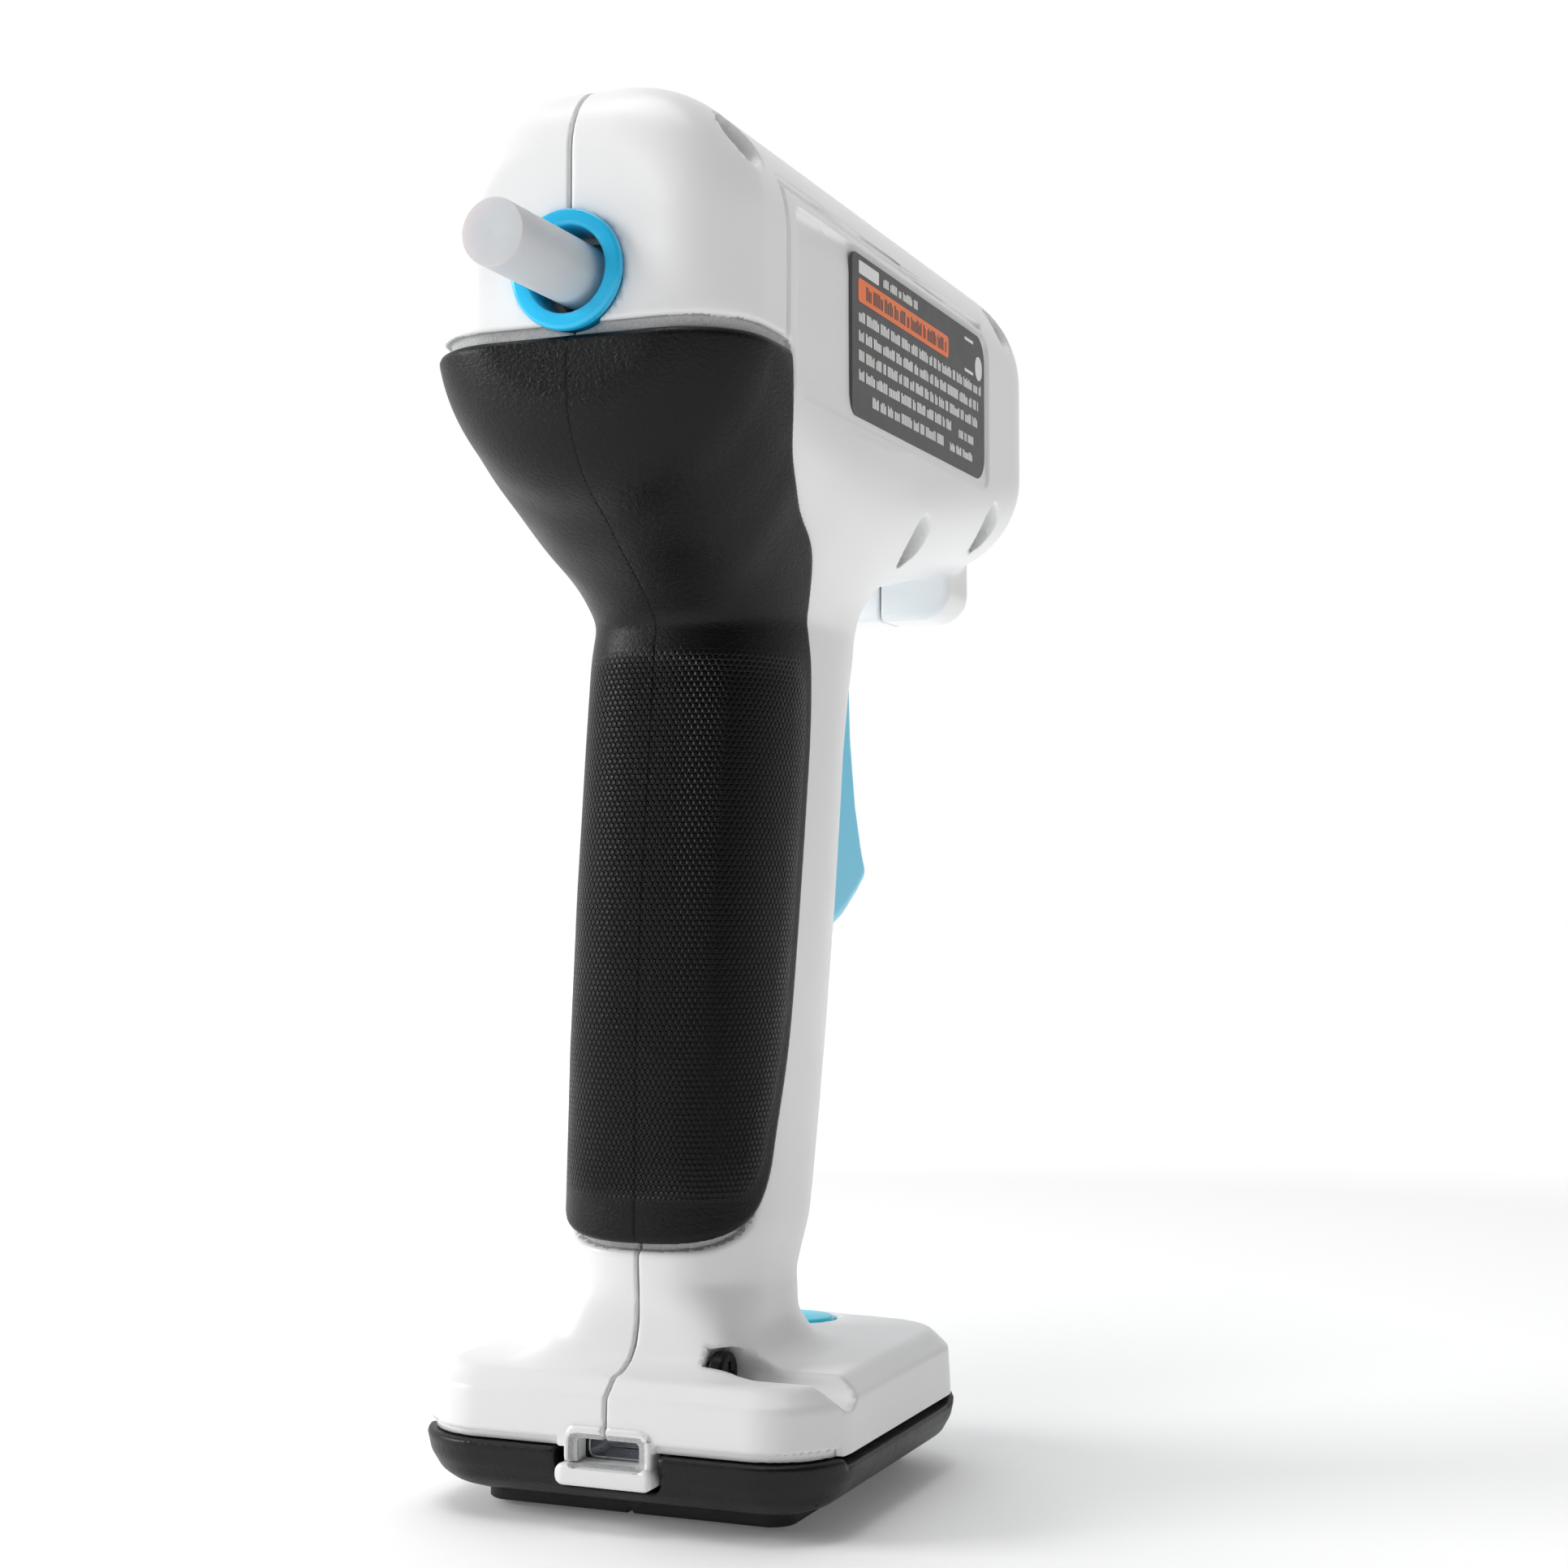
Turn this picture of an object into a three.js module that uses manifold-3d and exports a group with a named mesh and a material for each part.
// A cordless hot-melt glue gun on a weighted foot, as an assembly of separate pieces.
// Millimetres, +Z up. Seen from behind, +X is to the right and +Y points forward to the nozzle.
// The origin is the middle of the sole that the gun stands on.
import * as THREE from "three";
import { mergeVertices } from "three/addons/utils/BufferGeometryUtils.js";
import Module from "manifold-3d";

const wasm = await Module();
wasm.setup();

// ---------------------------------------------------------------- driving dimensions
const GAP = 0.3; // free space kept between neighbouring pieces
const STICK = { radius: 3.5, length: 100, rear: -51.8, axisZ: 133.1 };
const BARREL = { half: 19, top: 154.5, rear: -35, nose: 76, topRound: 15.5 };
const REAR_ROUND = 8.6; // rounding of the barrel's rear rim
const NOSE_ROUND = 12; // rounding of the barrel's front rim
const BASE = { half: 25, rear: -26, front: 26, corner: 9, bow: 4, rim: 8.4 };
const WALL = 3; // barrel wall, with the grip's share of it
const HANDLE_WALL = 2.3;
const BASE_WALL = 2.2;
const GRIP = { proud: 0.7, sunk: 0.8 }; // how far the soft skins stand out of and reach into the shells
const PORT = { x: 0.4, z: 7.9, width: 9.4, height: 3.7 };
const BUTTON = { y: 18.4, length: 18, width: 8, top: 15.8, bottom: 13.9 };
const PIVOT = { y: 28, z: 112 }; // the trigger turns on a boss here
const CELL = { radius: 9.2, length: 65, y: -3.7, z: 60.3, lean: 4.5 };
// joint: where the halves meet on this screw's axis; seat: where its head rests.
const SCREWS = [
  { name: "housing_screw_top_rear", y: -26.5, z: 147.6, joint: 0, seat: 9 },
  { name: "housing_screw_top_front", y: 62, z: 146.2, joint: 0, seat: 9 },
  { name: "housing_screw_lower_front", y: 56.2, z: 117.7, joint: 0, seat: 9 },
  { name: "housing_screw_trigger_boss", y: PIVOT.y, z: PIVOT.z, joint: 7.4, seat: 9 },
  { name: "housing_screw_foot", y: -17, z: 15.4, joint: 0, seat: 8.6 },
];
const SCREW = { head: 2.4, headLength: 1.8, shank: 1.25, bore: 3 };
const BOSS = 4.2; // outer radius of the screw bosses

// ---------------------------------------------------------------- colours
const finish = (color, roughness, metalness = 0) => ({ color, roughness, metalness });
const WHITE_SHELL = finish("#f1f1ef", 0.35);
const SOFT_BLACK = finish("#1b1b1c", 0.75);
const CYAN = finish("#22b2e6", 0.35);
const TRIGGER_BLUE = finish("#5dbfea", 0.4);
const GLUE = finish("#e6e8e6", 0.45);
const BRASS = finish("#c9a45a", 0.35, 1);
const STEEL = finish("#b9bcc0", 0.3, 1);
const BLACK_STEEL = finish("#2a2a2c", 0.4, 0.8);
const ALUMINIUM = finish("#c8cacc", 0.4, 1);
const LABEL_GREY = finish("#4f4d4e", 0.5);
const SILICONE = finish("#3a3b3d", 0.8);
const BOARD_GREEN = finish("#1f6b3c", 0.55);
const CELL_WRAP = finish("#2f6fb5", 0.4);
const LEAD_RED = finish("#b3261e", 0.5);
const LEAD_BLACK = finish("#202020", 0.5);

// ---------------------------------------------------------------- helpers
const rad = THREE.MathUtils.degToRad;

// A straight-line table: the value at t between pairs of [t, value].
function along(table, t) {
  const next = table.findIndex(([at]) => at >= t);
  if (next === 0) return table[0][1];
  if (next < 0) return table[table.length - 1][1];
  const [t0, v0] = table[next - 1];
  const [t1, v1] = table[next];
  return v0 + ((v1 - v0) * (t - t0)) / (t1 - t0);
}

function toSolid(geometry) {
  const bare = geometry.clone();
  bare.deleteAttribute("normal");
  bare.deleteAttribute("uv");
  const merged = mergeVertices(bare, 1e-4);
  return new wasm.Manifold(
    new wasm.Mesh({
      numProp: 3,
      vertProperties: new Float32Array(merged.attributes.position.array),
      triVerts: new Uint32Array(merged.index.array),
    }),
  );
}

function toGeometry(solid) {
  const mesh = solid.getMesh();
  const geometry = new THREE.BufferGeometry();
  geometry.setAttribute("position", new THREE.BufferAttribute(mesh.vertProperties, 3));
  geometry.setIndex(new THREE.BufferAttribute(mesh.triVerts, 1));
  return geometry;
}

// A closed skin through rings of points, each ring running the same way round, with fan caps.
function loft(rings) {
  const count = rings[0].length;
  const points = rings.flat();
  const faces = [];
  for (let r = 0; r + 1 < rings.length; r++) {
    for (let i = 0; i < count; i++) {
      const a = r * count + i;
      const b = r * count + ((i + 1) % count);
      faces.push(a, b, a + count, b, b + count, a + count);
    }
  }
  for (const [first, order] of [[0, 1], [(rings.length - 1) * count, -1]]) {
    const middle = new THREE.Vector3();
    for (let i = 0; i < count; i++) middle.add(points[first + i]);
    points.push(middle.divideScalar(count));
    for (let i = 0; i < count; i++) {
      const a = first + i;
      const b = first + ((i + 1) % count);
      if (order > 0) faces.push(b, a, points.length - 1);
      else faces.push(a, b, points.length - 1);
    }
  }
  const geometry = new THREE.BufferGeometry().setFromPoints(points);
  geometry.setIndex(faces);
  const solid = toSolid(geometry);
  if (solid.volume() > 0) return solid;
  for (let i = 0; i < faces.length; i += 3) [faces[i], faces[i + 1]] = [faces[i + 1], faces[i]];
  geometry.setIndex(faces);
  return toSolid(geometry);
}

// A rounded rectangle in (u, v), with one radius for its two low corners and one for its top ones.
function roundedBox(half, low, high, lowRound, highRound, steps = 4) {
  const corners = [
    [half - lowRound, low + lowRound, lowRound, -90],
    [half - highRound, high - highRound, highRound, 0],
    [-half + highRound, high - highRound, highRound, 90],
    [-half + lowRound, low + lowRound, lowRound, 180],
  ];
  return corners.flatMap(([u, v, round, start]) =>
    Array.from({ length: steps + 1 }, (_, i) => {
      const turn = rad(start + (90 * i) / steps);
      return [u + round * Math.cos(turn), v + round * Math.sin(turn)];
    }),
  );
}

// A side outline [[y, z], ...] made solid from x0 to x1.
function plate(outline, x0, x1) {
  const shape = new THREE.Shape(outline.map(([y, z]) => new THREE.Vector2(y, z)));
  return standing(shape, x0, x1);
}

function standing(shape, x0, x1) {
  const geometry = new THREE.ExtrudeGeometry(shape, {
    depth: x1 - x0,
    bevelEnabled: false,
    curveSegments: 6,
  });
  const toSide = new THREE.Matrix4().makeBasis(
    new THREE.Vector3(0, 1, 0),
    new THREE.Vector3(0, 0, 1),
    new THREE.Vector3(1, 0, 0),
  );
  return toSolid(geometry.applyMatrix4(toSide).translate(x0, 0, 0));
}

function block(x0, x1, y0, y1, z0, z1) {
  const box = new THREE.BoxGeometry(x1 - x0, y1 - y0, z1 - z0);
  return toSolid(box.translate((x0 + x1) / 2, (y0 + y1) / 2, (z0 + z1) / 2));
}

// A round bar along X, from x0 to x1.
function crossRod(y, z, radius, x0, x1, sides = 14) {
  const rod = new THREE.CylinderGeometry(radius, radius, x1 - x0, sides);
  return toSolid(rod.rotateZ(-Math.PI / 2).translate((x0 + x1) / 2, y, z));
}

// A piece turned about the stick's axis: profile points are [radius, y].
function turned(profile, sides = 28) {
  const points = profile.map(([radius, y]) => new THREE.Vector2(radius, y));
  return toSolid(new THREE.LatheGeometry(points, sides).translate(0, 0, STICK.axisZ));
}

// A tube between radii, along the stick's axis; the profile closes on itself.
const pipe = (inner, outer, y0, y1, sides) =>
  turned([[inner, y0], [outer, y0], [outer, y1], [inner, y1], [inner, y0]], sides);

const rod = (radius, y0, y1, sides) => turned([[0, y0], [radius, y0], [radius, y1], [0, y1]], sides);

// A wire or spring along a curve.
function wire(curve, radius, steps, sides = 6) {
  const section = new THREE.Shape();
  section.absarc(0, 0, radius, 0, 2 * Math.PI);
  return toSolid(
    new THREE.ExtrudeGeometry(section, { steps, curveSegments: sides / 2, extrudePath: curve }),
  );
}

const lead = (points, steps = 22) =>
  wire(new THREE.CatmullRomCurve3(points.map((p) => new THREE.Vector3(...p))), 0.7, steps);

// ---------------------------------------------------------------- outer form
// Each of these takes an inset, which moves every face inwards by that much.

// The lowest line of the barrel, and the rounding of its two lower corners.
const BELLY = [[-35, 112.2], [-27, 110.4], [-21.6, 107.1], [-15, 103.7], [0, 102], [25, 105], [76, 115]];
const BELLY_ROUND = [[-10, 18.6], [25, 14], [76, 12.5]];

function barrel(inset) {
  const rear = BARREL.rear + inset;
  const nose = BARREL.nose - inset;
  const stations = [];
  for (const turn of [6, 22, 38, 56, 74]) {
    const lost = 1 - Math.sin(rad(turn));
    stations.push([rear + (REAR_ROUND - inset) * (1 - Math.cos(rad(turn))), (REAR_ROUND - inset) * lost]);
  }
  for (const y of [-26, -21.6, -15, -7, 0, 12, 25, 45]) stations.push([y, 0]);
  for (const turn of [90, 68, 50, 34, 18, 4]) {
    const lost = 1 - Math.sin(rad(turn));
    stations.push([nose - (NOSE_ROUND - inset) * (1 - Math.cos(rad(turn))), (NOSE_ROUND - inset) * lost]);
  }
  const rings = stations.map(([y, drawn]) => {
    const away = inset + drawn;
    const lowRound = Math.max(along(BELLY_ROUND, y) - away, 1);
    const highRound = Math.max(BARREL.topRound - away, 1);
    const outline = roundedBox(
      BARREL.half - away,
      along(BELLY, y) + away,
      BARREL.top - away,
      lowRound,
      highRound,
    );
    return outline.map(([x, z]) => new THREE.Vector3(x, y, z));
  });
  return loft(rings);
}

// The handle's rear and front lines at each height; both flare into the foot and the barrel.
const HANDLE_REAR = [
  [14, -24], [15.7, -22], [16.5, -20], [18.6, -18.4], [22, -17.6], [28.5, -18.1], [49.7, -17.9],
  [67.6, -16.5], [92.3, -13.5], [99.2, -12.7], [102.7, -16.5], [106.4, -20.8], [112, -25], [118, -27],
];
const HANDLE_FRONT = [
  [14, 15], [16.5, 10.8], [19.7, 8.4], [26.2, 10], [33.5, 12.6], [43, 15.6], [51.8, 18], [67.6, 21.3],
  [77.7, 23], [84.8, 24], [93.1, 26.2], [101.8, 30.8], [106, 33.5], [112, 37], [118, 38],
];
const HANDLE_HALF = [
  [14, 17], [16.5, 13], [19, 11.4], [24, 11.1], [30, 12.2], [99.2, 12.4], [102.7, 13.4], [106.4, 14.6],
  [112, 15.8], [118, 17],
];
// How square the handle's section is: 2 is an ellipse.
const HANDLE_POWER = [[95, 2.8], [103, 2.3], [110, 2]];

function superellipse(middleY, halfX, halfY, power, z, count = 24) {
  return Array.from({ length: count }, (_, i) => {
    const turn = (2 * Math.PI * i) / count;
    const [c, s] = [Math.cos(turn), Math.sin(turn)];
    const x = Math.sign(c) * halfX * Math.abs(c) ** (2 / power);
    const y = Math.sign(s) * halfY * Math.abs(s) ** (2 / power);
    return new THREE.Vector3(x, middleY + y, z);
  });
}

function handle(inset) {
  const low = inset > 0 ? [10] : [14.6, 15.7];
  const heights = [...low, 16.5, 18.6, 22, 28.5, 38, 49.7, 67.6, 84.8, 93.1, 99.2, 102.7, 106.4, 112, 118];
  return loft(
    heights.map((z) => {
      const rear = along(HANDLE_REAR, z) + inset;
      const front = along(HANDLE_FRONT, z) - inset;
      const half = along(HANDLE_HALF, z) - inset;
      return superellipse((rear + front) / 2, half, (front - rear) / 2, along(HANDLE_POWER, z), z);
    }),
  );
}

// One level of the foot: a rounded rectangle whose front side bows out.
function footRing(z, inset) {
  const half = BASE.half - inset;
  const round = Math.max(BASE.corner - inset, 1.5);
  const outline = roundedBox(half, BASE.rear + inset, BASE.front - inset, round, round, 4);
  return outline.map(([x, y]) => {
    const forward = Math.max(y, 0) / BASE.front;
    return new THREE.Vector3(x, y - BASE.bow * (x / BASE.half) ** 2 * forward, z);
  });
}

const foot = () =>
  loft([
    footRing(BASE.rim, 0),
    footRing(12.6, 0.8),
    footRing(13.7, 1.4),
    footRing(14.7, 2.6),
    footRing(15.4, 4.4),
    footRing(15.9, 9),
  ]);

const footHollow = () =>
  loft([footRing(BASE.rim - 1, BASE_WALL), footRing(12.2, BASE_WALL + 0.2), footRing(13.4, 5)]);

// The chin that drops below the nose, at the front end of the barrel.
const CHIN = { half: 10.2, low: 106, rear: 60.4, round: 4.2 };

function chin(inset) {
  const high = 126;
  const stations = [
    [CHIN.rear + inset, 1.2], [CHIN.rear + inset + 1.2, 0], [66, 0], [69 - inset, 0.8], [71.5 - inset, 2.6],
    [73 - inset, 5],
  ];
  return loft(
    stations.map(([y, drawn]) => {
      const away = inset + drawn;
      const round = Math.max(CHIN.round - away, 0.8);
      return roundedBox(CHIN.half - away, CHIN.low + away, high - away, round, round).map(
        ([x, z]) => new THREE.Vector3(x, y, z),
      );
    }),
  );
}

const outerForm = barrel(0).add(handle(0)).add(foot()).add(chin(0));
const hollow = barrel(WALL).add(handle(HANDLE_WALL)).add(footHollow()).add(chin(2));

// ---------------------------------------------------------------- the soft grip
// The side outline that the grip covers: up the back of the handle and round the web of the hand.
const GRIP_OUTLINE = [
  [-40, 126.3], [-19.9, 126.3], [-19.2, 121.3], [-17, 115.5], [-11, 111], [-4.6, 107.4], [0.4, 101.6],
  [1.9, 96], [1.8, 88.4], [1, 80.8], [-2, 62], [-3.9, 52.8], [-8.2, 40.3], [-9, 36.8], [-10, 33.7],
  [-11.6, 31.9], [-13.9, 30.5], [-17.2, 29.3], [-20, 28.5], [-40, 28.5],
];

// The outline moved outwards by so much, along the mean of the two edges that meet at each corner.
function offset(outline, by) {
  return outline.map(([y, z], i) => {
    const [before, after] = [outline.at(i - 1), outline[(i + 1) % outline.length]];
    const into = new THREE.Vector2(y - before[0], z - before[1]).normalize();
    const out = new THREE.Vector2(after[0] - y, after[1] - z).normalize();
    const along = into.add(out).normalize();
    return [y - by * along.y, z + by * along.x];
  });
}

const gripCut = plate(GRIP_OUTLINE, -30, 30);
const bedCut = plate(offset(GRIP_OUTLINE, GAP), -30, 30);
const gripOuter = barrel(-GRIP.proud).add(handle(-GRIP.proud));
const underGrip = barrel(GRIP.sunk).add(handle(GRIP.sunk));
const gripBed = barrel(GRIP.sunk + GAP).add(handle(GRIP.sunk + GAP));
const gripSkin = gripOuter.intersect(gripCut).subtract(underGrip);

function halfSpace(side) {
  const [x0, x1] = side > 0 ? [GAP / 2, 60] : [-60, -GAP / 2];
  return block(x0, x1, -90, 120, -10, 200);
}

// ---------------------------------------------------------------- openings in the shells
const ringHole = rod(6.2, BARREL.rear - 5, BARREL.rear + 6, 32);
const noseHole = rod(11.8, 68, 90, 32).add(rod(13.3, 66, 73.3, 32));

// The trigger leaves through one slot that runs from the belly of the barrel down the handle's front.
const TRIGGER_HALF = 7;
const SLOT = [[10, 59.4], [40, 59.4], [46, 90], [41, 104.5], [37, 114], [16, 116], [8, 104]];
const triggerSlot = plate(SLOT, -TRIGGER_HALF - 0.6, TRIGGER_HALF + 0.6);

function oval(length, width, z0, z1, y) {
  const shape = new THREE.Shape();
  const reach = (length - width) / 2;
  shape.absarc(reach, y, width / 2, -Math.PI / 2, Math.PI / 2);
  shape.absarc(-reach, y, width / 2, Math.PI / 2, (3 * Math.PI) / 2);
  const geometry = new THREE.ExtrudeGeometry(shape, { depth: z1 - z0, bevelEnabled: false, curveSegments: 8 });
  return toSolid(geometry.translate(0, 0, z0));
}

const buttonHole = oval(BUTTON.length + 0.8, BUTTON.width + 0.8, 12, 22, BUTTON.y);

// A rounded rectangle hole seen from behind, cut along Y.
function portCut(width, height, y0, y1) {
  const rings = [y0, y1].map((y) =>
    roundedBox(width / 2, PORT.z - height / 2, PORT.z + height / 2, 1.2, 1.2).map(
      ([x, z]) => new THREE.Vector3(PORT.x + x, y, z),
    ),
  );
  return loft(rings);
}

const portHole = portCut(PORT.width, PORT.height, -30, -18);

// The wall around the port reaches below the rim of the shells, down into a notch in the tray.
const TONGUE = { half: 5.6, low: 4.2, rear: BASE.rear + 0.2, front: BASE.rear + 2.4 };
const tongue = block(-TONGUE.half, TONGUE.half, TONGUE.rear, TONGUE.front, TONGUE.low, BASE.rim + 2);

// The rating label, let into the right side of the barrel.
const LABEL = { y0: -0.5, y1: 50.3, z0: 123, z1: 142.3, round: 3.5, thickness: 0.5 };

function sidePanel({ y0, y1, z0, z1 }, round, x0, x1) {
  const shape = new THREE.Shape();
  shape.absarc(y1 - round, z0 + round, round, -Math.PI / 2, 0);
  shape.absarc(y1 - round, z1 - round, round, 0, Math.PI / 2);
  shape.absarc(y0 + round, z1 - round, round, Math.PI / 2, Math.PI);
  shape.absarc(y0 + round, z0 + round, round, Math.PI, 1.5 * Math.PI);
  return standing(shape, x0, x1);
}

const labelSeat = sidePanel(
  { y0: LABEL.y0 - GAP, y1: LABEL.y1 + GAP, z0: LABEL.z0 - GAP, z1: LABEL.z1 + GAP },
  LABEL.round,
  BARREL.half - LABEL.thickness - GAP,
  25,
);

// Slideway ribs for the feed carriage, one above and one below its wing on each side.
function slideRibs(side) {
  const inner = 9.2;
  const outer = BARREL.half - 1;
  const [x0, x1] = side > 0 ? [inner, outer] : [-outer, -inner];
  return block(x0, x1, 0, 28, 128.4, 130.6).add(block(x0, x1, 0, 28, 135.6, 137.8));
}

// ---------------------------------------------------------------- the two shells
const SCREW_CLEARANCE = SCREW.shank + GAP;

// A boss for each screw: wide with the head's bore on the right, narrow and blind on the left.
function screwBoss({ y, z, joint }, side) {
  const split = joint + (side * GAP) / 2;
  if (side > 0) return crossRod(y, z, BOSS, split, 24);
  return crossRod(y, z, joint ? 3.2 : 3.4, -24, split);
}

function screwBore({ y, z, joint, seat }, side) {
  if (side < 0) return crossRod(y, z, SCREW_CLEARANCE, joint - 9, joint + 1);
  const shankHole = crossRod(y, z, SCREW_CLEARANCE, joint - 1, seat + 3);
  return shankHole.add(crossRod(y, z, SCREW.bore, seat, 30));
}

function shell(side) {
  let solid = outerForm.subtract(hollow).add(tongue);
  solid = solid.subtract(bedCut.subtract(gripBed)).add(slideRibs(side).intersect(barrel(1)));
  solid = solid.intersect(halfSpace(side)).subtract(triggerSlot);
  for (const screw of SCREWS) {
    solid = solid.add(screwBoss(screw, side).intersect(outerForm));
    solid = solid.subtract(screwBore(screw, side));
  }
  for (const cut of [ringHole, noseHole, buttonHole, portHole]) {
    solid = solid.subtract(cut);
  }
  if (side > 0) solid = solid.subtract(labelSeat);
  return solid;
}

// ---------------------------------------------------------------- underside
function baseTray() {
  const body = loft([
    footRing(1.6, 5.6),
    footRing(2.2, 3),
    footRing(3.6, 1.1),
    footRing(5.6, 0.2),
    footRing(BASE.rim - GAP, -0.2),
  ]);
  const pocket = loft([footRing(3.6, 3.4), footRing(BASE.rim + 2, 2.2)]);
  const notchHalf = TONGUE.half + 0.4;
  const notch = block(-notchHalf, notchHalf, BASE.rear - 3, BASE.rear + 6, TONGUE.low - 0.4, 12);
  const soleSeat = soleForm(-GAP, 1, 1.9 + GAP);
  return body.subtract(pocket).subtract(notch).subtract(soleSeat);
}

const SOLE = { half: 18.5, rear: -19.6, front: 20.5, round: 3 };

function soleForm(inset, z0, z1) {
  const outline = roundedBox(
    SOLE.half - inset,
    SOLE.rear + inset,
    SOLE.front - inset,
    SOLE.round,
    SOLE.round,
  );
  return loft([z0, z1].map((z) => outline.map(([x, y]) => new THREE.Vector3(x, y, z))));
}

// ---------------------------------------------------------------- trigger and feed
const TRIGGER_OUTLINE = [
  [31.4, 104], [31.3, 96], [31.9, 87.4], [33.6, 79.2], [35.8, 73.5], [37.4, 70.8], [37.2, 69.3],
  [33.9, 67], [28.9, 64.2], [23.7, 62.3], [18.4, 61.2], [17.4, 63], [17, 70], [15, 85], [13.6, 98], [17, 108], [24, 111], [31.5, 108.5],
];

function triggerBody() {
  const blade = plate(TRIGGER_OUTLINE, -TRIGGER_HALF, TRIGGER_HALF);
  const hub = crossRod(PIVOT.y, PIVOT.z, 6.6, -6.6, 6.6);
  const arm = plate([[25.8, 109], [30.4, 109], [29.6, 123.2], [26.6, 123.2]], -2.4, 2.4);
  const hole = crossRod(PIVOT.y, PIVOT.z, BOSS + GAP, -12, 12);
  const lighten = plate([[13, 70], [26, 72], [25, 95], [12, 98]], -5, 5);
  return blade.add(hub).add(arm).subtract(hole).subtract(lighten);
}

const CARRIAGE = { rear: 8, front: 20, low: 123.8, high: 143.5 };
const SLEEVE_REAR = 36.8; // the hot end's sleeve starts here, clear of the carriage's whole stroke

function carriageBody() {
  const { rear, front, low, high } = CARRIAGE;
  const ring = block(-8.4, 8.4, rear, front, 124, high).subtract(rod(4.3, 0, 40));
  const wings = block(-12, 12, rear, front, 130.9, 135.3).subtract(rod(4.3, 0, 40));
  const tailEnd = 33.5;
  const tailPlate = block(-4, 4, tailEnd - 3.3, tailEnd, 119.2, 126.2);
  const tail = block(-4, 4, front - 2, tailEnd, low, 126.2).add(tailPlate);
  const jawSlot = block(-2.6, 2.6, rear + 1.5, front + 1, STICK.axisZ, high + 5);
  const cheeks = block(-5.4, 5.4, rear, rear + 6, high - 1, 147.5);
  const pinHole = crossRod(12, 144.6, 1 + GAP, -9, 9, 12);
  return ring.add(wings).add(tail).add(cheeks).subtract(jawSlot).subtract(pinHole);
}

function jawBody() {
  const hub = crossRod(12, 144.6, 2.3, -2.2, 2.2, 16);
  const claw = plate([[12, 142.4], [16.4, 137.2], [18.6, 137.4], [18.8, 139], [14, 146.4], [11, 146.6]], -2.2, 2.2);
  return hub.add(claw).subtract(crossRod(12, 144.6, 1 + GAP, -9, 9, 12));
}

class Coil extends THREE.Curve {
  constructor(radius, turns, y0, y1) {
    super();
    Object.assign(this, { radius, turns, y0, y1 });
  }

  getPoint(t, target = new THREE.Vector3()) {
    const turn = 2 * Math.PI * this.turns * t;
    const y = this.y0 + (this.y1 - this.y0) * t;
    return target.set(this.radius * Math.cos(turn), y, STICK.axisZ + this.radius * Math.sin(turn));
  }
}

// ---------------------------------------------------------------- hot end
function chamberBody() {
  const body = rod(8, 49.8, 74, 24).add(block(-8, 8, 60.9, 67.2, 117.4, STICK.axisZ));
  const bore = turned([[0, 45], [3.9, 45], [3.9, 69], [1.4, 76], [1.4, 80], [0, 80]], 20);
  return body.subtract(bore).subtract(block(-5.2, 5.2, 50, 80, 118.6, 122));
}

const nozzleBody = () =>
  turned([[1, 74.4], [4.4, 74.4], [4.4, 79], [5.6, 79], [5.6, 83], [4.2, 85], [1.7, 98], [1, 98], [1, 74.4]], 20);

const nozzleCoverBody = () =>
  turned([[6, 79.6], [9.6, 79.6], [9.2, 84], [3.6, 95.5], [2.6, 95.5], [4.8, 85.2], [6, 83.6], [6, 79.6]], 26);

const collarBody = () =>
  turned([[8.4, 70.8], [13, 70.8], [13, 73], [11.5, 73], [11.5, 77], [10.8, 78.2], [9.4, 78.2], [8.4, 77.2], [8.4, 70.8]], 28);

// ---------------------------------------------------------------- assembly
const gun = new THREE.Group();

function add(name, solid, look, parent = gun) {
  const material = new THREE.MeshStandardMaterial({
    color: look.color,
    roughness: look.roughness,
    metalness: look.metalness,
  });
  const mesh = new THREE.Mesh(toGeometry(solid), material);
  mesh.name = name;
  parent.add(mesh);
  return mesh;
}

add("right_housing", shell(1), WHITE_SHELL);
add("left_housing", shell(-1), WHITE_SHELL);
add("right_grip", gripSkin.intersect(halfSpace(1)), SOFT_BLACK);
add("left_grip", gripSkin.intersect(halfSpace(-1)), SOFT_BLACK);
add("base_tray", baseTray(), SOFT_BLACK);
add("sole_pad", soleForm(0, 0, 1.9), SOFT_BLACK);
add("side_label", sidePanel(LABEL, LABEL.round, BARREL.half - LABEL.thickness, BARREL.half - 0.05), LABEL_GREY);

for (const { name, y, z, joint, seat } of SCREWS) {
  const headFrom = seat + GAP;
  const shank = crossRod(y, z, SCREW.shank, joint - 8, headFrom + 0.5, 12);
  const head = crossRod(y, z, SCREW.head, headFrom, headFrom + SCREW.headLength, 16);
  add(name, shank.add(head), BLACK_STEEL);
}

const [RING_LIP, RING_REAR, RING_BACK] = [6.45, BARREL.rear - 1.4, BARREL.rear + 4.6];
add(
  "stick_inlet_ring",
  turned(
    [
      [4.65, RING_REAR], [6.1, RING_REAR], [RING_LIP, RING_REAR + 0.4], [RING_LIP, BARREL.rear - GAP],
      [5.9, BARREL.rear - GAP], [5.9, BARREL.rear + WALL + GAP], [7.6, BARREL.rear + WALL + GAP],
      [7.6, RING_BACK], [4.65, RING_BACK], [4.65, RING_REAR],
    ],
    32,
  ),
  CYAN,
);
add("glue_stick", rod(STICK.radius, STICK.rear, STICK.rear + STICK.length, 28), GLUE);
add("guide_tube", pipe(4.4, 5.4, -29, 3).add(pipe(4.4, 8, -29, -27.5)), WHITE_SHELL);

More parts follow.
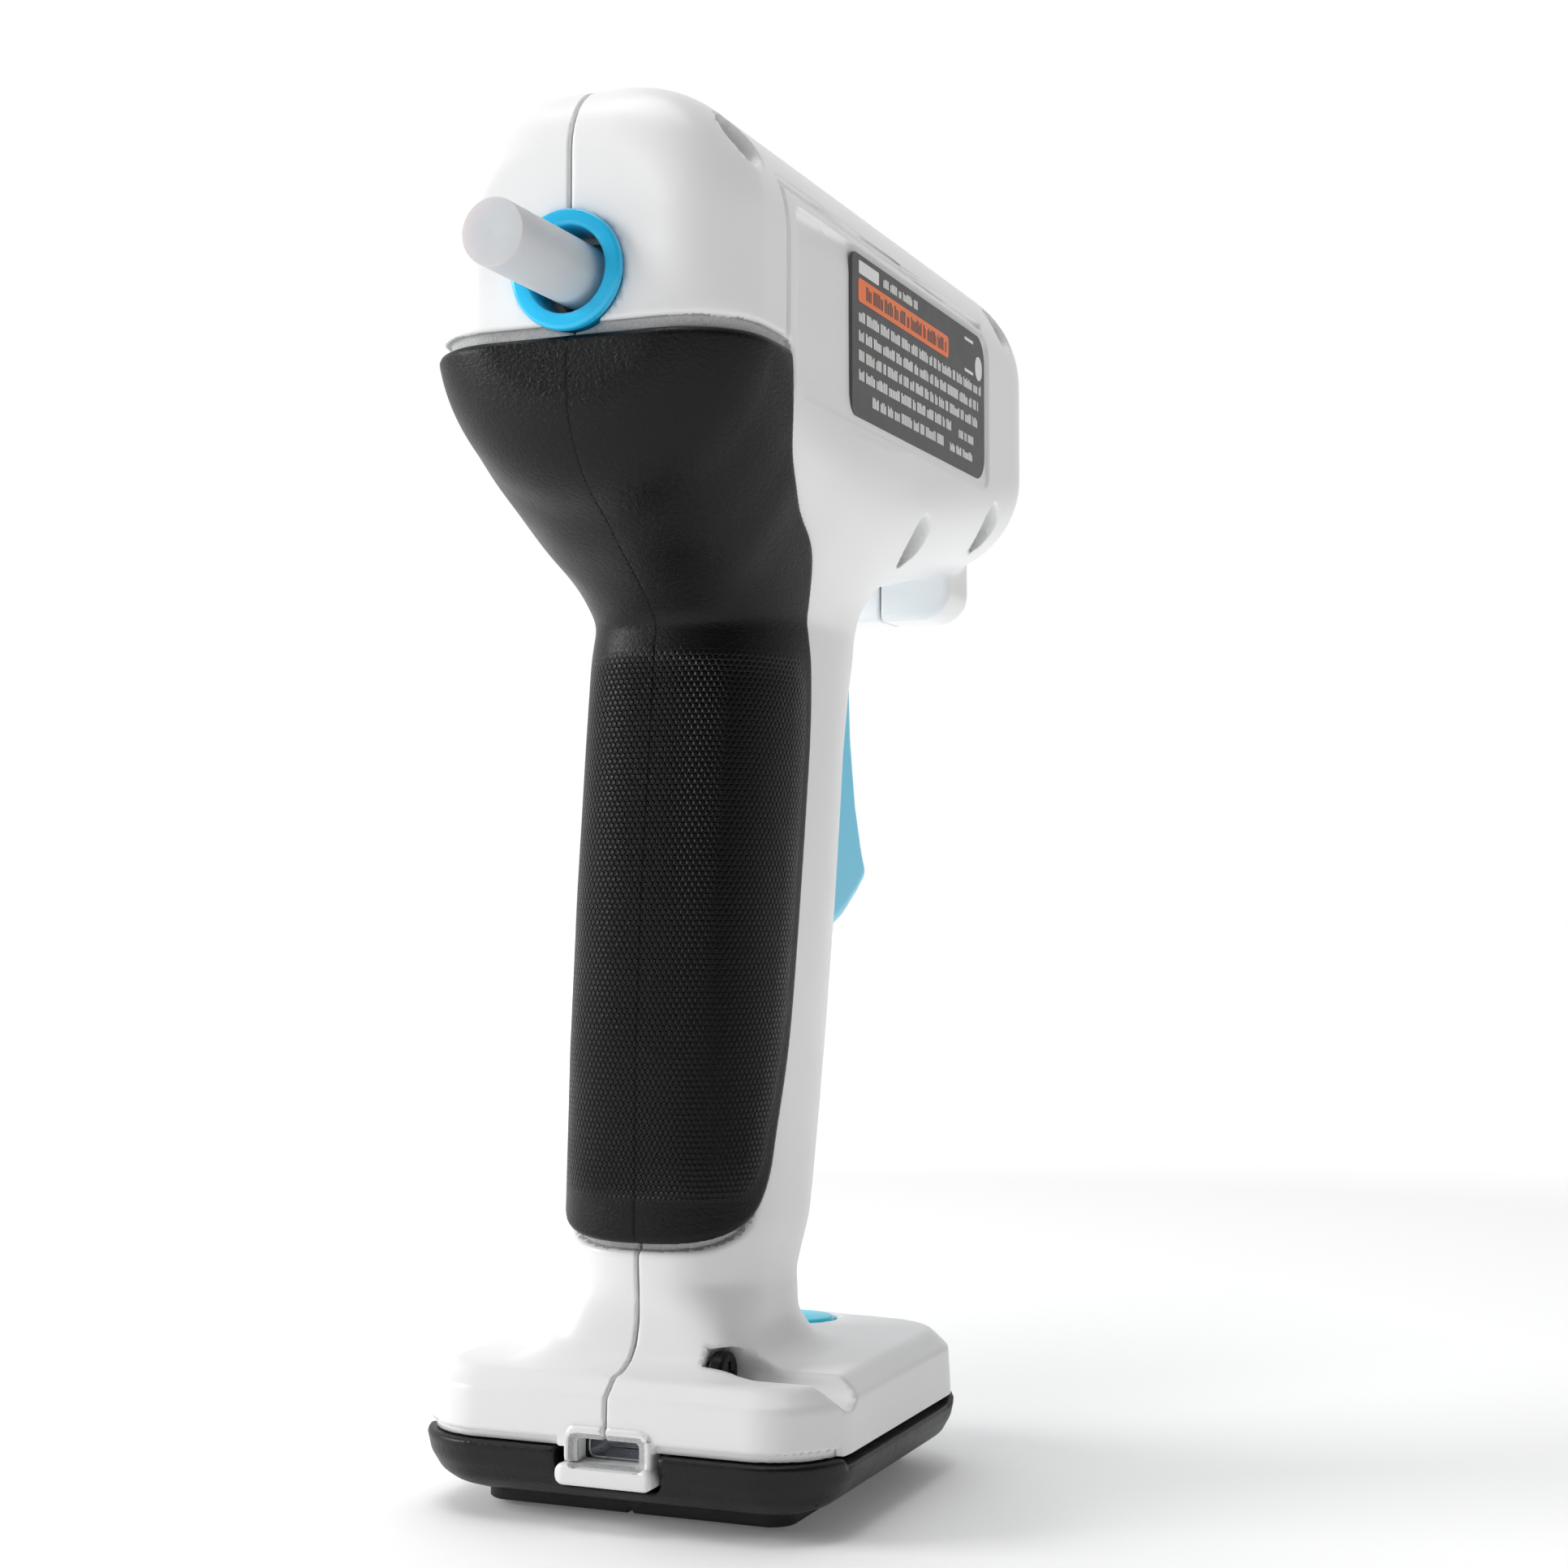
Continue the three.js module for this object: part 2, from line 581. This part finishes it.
add("trigger", triggerBody(), TRIGGER_BLUE);
add("feed_carriage", carriageBody(), WHITE_SHELL);
add("gripper_jaw", jawBody(), STEEL);
add("gripper_pin", crossRod(12, 144.6, 1, -5.2, 5.2, 12), STEEL);
add("return_spring", wire(new Coil(5.6, 4, 21, SLEEVE_REAR - 0.9), 0.45, 56), STEEL);

const sleeveFlange = pipe(3.9, 7, SLEEVE_REAR, SLEEVE_REAR + 1.6);
add("inlet_sleeve", pipe(3.9, 5.6, SLEEVE_REAR, 49.5).add(sleeveFlange), SILICONE);
add("sleeve_clamp", pipe(5.9, 6.8, 44, 47), STEEL);
add("heat_shield", block(-15.4, 15.4, 50.6, 52, 124, 142).subtract(rod(8.3, 40, 60)), ALUMINIUM);
add("melt_chamber", chamberBody(), ALUMINIUM);
add("heater_element", block(-4.8, 4.8, 61.2, 66.8, 118.9, 121.7), BLACK_STEEL);
add("thermal_fuse", turned([[0, 55], [1.7, 55], [1.7, 64], [0, 64]], 12).translate([-10.2, 0, -5]), STEEL);
add("nose_collar", collarBody(), CYAN);
add("nozzle", nozzleBody(), BRASS);
add("nozzle_cover", nozzleCoverBody(), SILICONE);

add(
  "power_button",
  oval(BUTTON.length, BUTTON.width, BUTTON.bottom, BUTTON.top, BUTTON.y).add(
    block(-1.5, 1.5, BUTTON.y - 1.5, BUTTON.y + 1.5, BUTTON.bottom - 0.35, BUTTON.bottom + 0.2),
  ),
  CYAN,
);
add("control_board", block(-16.5, 16.5, -21, 21.6, 9.9, 11.1), BOARD_GREEN);
add("usb_socket", portCut(7.8, 3, -23.4, -18.6).subtract(portCut(7, 2.2, -26, -20)), STEEL);
add("tact_switch", block(-3, 3, 16.5, 21.5, 11.4, 13.2), LEAD_BLACK);
add("indicator_led", block(5, 7, 18, 20, 11.4, 12.8), GLUE);

const cellGroup = new THREE.Group();
cellGroup.position.set(0, CELL.y, CELL.z);
cellGroup.rotation.x = -rad(CELL.lean);
gun.add(cellGroup);
const cellBody = new THREE.CylinderGeometry(CELL.radius, CELL.radius, CELL.length, 28).rotateX(Math.PI / 2);
add("battery_cell", toSolid(cellBody), CELL_WRAP, cellGroup);
const tabAt = CELL.length / 2 + GAP;
add("battery_tab_top", block(-4, 4, -4, 4, tabAt, tabAt + 0.5), STEEL, cellGroup);
add("battery_tab_bottom", block(-4, 4, -4, 4, -tabAt - 0.5, -tabAt), STEEL, cellGroup);

const leadX = 8.3;
const heaterLead = (side) =>
  lead([
    [side * 7.2, 0.6, 11.9], [side * 7.4, 0.8, 22], [side * 8.2, 3.2, 34], [side * leadX, 5, 52],
    [side * leadX, 6.6, 70], [side * leadX, 8, 96], [side * leadX, 14, 116], [side * 9.4, 30, 121],
    [side * 9.2, 50, 122.9], [side * 8.6, 56, 123.3], [side * 7, 59.9, 123.6],
  ], 30);
add("heater_lead_right", heaterLead(1), LEAD_RED);
add("heater_lead_left", heaterLead(-1), LEAD_BLACK);
add(
  "battery_lead_top",
  lead([
    [-6.6, -2.6, 11.9], [-7.4, -1.8, 21], [-8.2, 0.1, 28], [-leadX, 1.3, 34], [-leadX, 2.8, 52], [-leadX, 4.2, 70],
    [-8.2, 5.6, 89], [-7, 4.8, 95.2], [-4.2, 1.6, 95.6],
  ]),
  LEAD_RED,
);
add("battery_lead_bottom", lead([[0, -7, 25.6], [0, -9, 23.6], [2, -11, 18], [3, -11, 11.9]], 10), LEAD_BLACK);

export default gun;
